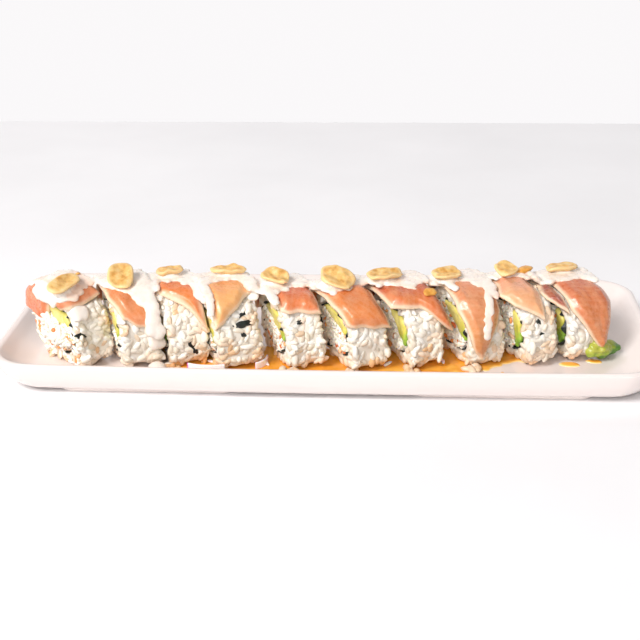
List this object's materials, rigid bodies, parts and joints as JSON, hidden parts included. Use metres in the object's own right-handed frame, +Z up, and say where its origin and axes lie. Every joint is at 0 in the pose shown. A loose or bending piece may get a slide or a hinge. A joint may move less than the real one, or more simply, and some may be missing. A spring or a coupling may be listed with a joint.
{
  "type": "uramaki roll on a plate",
  "caption": "Sliced inside-out sushi roll of rice, crab and avocado, topped with raw fish, cream and garlic chips, on a long rectangular plate.",
  "frame": {"origin": "on the table under the middle of the plate", "axes": "+X along the plate to the right as seen from its front, -Y to the front, +Z up"},
  "size_m": [0.264, 0.107, 0.0458],
  "materials": {
    "glaze": "white glaze with fine grey specks, satin gloss",
    "rice": "moist cooked rice, waxy and slightly translucent",
    "crab": "shredded crab in cream with orange flecks, moist",
    "avocado": "ripe avocado flesh, yellow to green at the edge, buttery",
    "fish": "wet raw fish, salmon pink to peach, with white cream over it",
    "garlic": "fried garlic, golden with darker edges, oily",
    "cream": "thick white cream sauce, smooth and wet",
    "onion": "raw red onion, translucent white with a magenta skin edge",
    "nori": "moist seaweed sheet, near black green",
    "ponzu": "thin citrus soy sauce, clear orange brown"
  },
  "bodies": {
    "root": {"plate": "glaze", "rice_01": "rice", "rice_02": "rice", "rice_03": "rice", "rice_04": "rice", "rice_05": "rice", "rice_06": "rice", "rice_07": "rice", "rice_08": "rice", "rice_09": "rice", "rice_10": "rice", "crab_01": "crab", "crab_02": "crab", "crab_03": "crab", "crab_04": "crab", "crab_05": "crab", "crab_06": "crab", "crab_07": "crab", "crab_08": "crab", "crab_09": "crab", "crab_10": "crab", "avocado_01": "avocado", "avocado_02": "avocado", "avocado_03": "avocado", "avocado_04": "avocado", "avocado_05": "avocado", "avocado_06": "avocado", "avocado_07": "avocado", "avocado_08": "avocado", "avocado_09": "avocado", "avocado_10": "avocado", "fish_01": "fish", "fish_02": "fish", "fish_03": "fish", "fish_04": "fish", "fish_05": "fish", "fish_06": "fish", "fish_07": "fish", "fish_08": "fish", "fish_09": "fish", "fish_10": "fish", "garlic_01": "garlic", "garlic_02": "garlic", "garlic_03": "garlic", "garlic_04": "garlic", "garlic_05": "garlic", "garlic_06": "garlic", "garlic_07": "garlic", "garlic_08": "garlic", "garlic_09": "garlic", "garlic_10": "garlic", "fish_under": "fish", "cream_drop": "cream", "onion_01": "onion", "onion_02": "onion", "avocado_end": "avocado"}
  },
  "joints": []
}
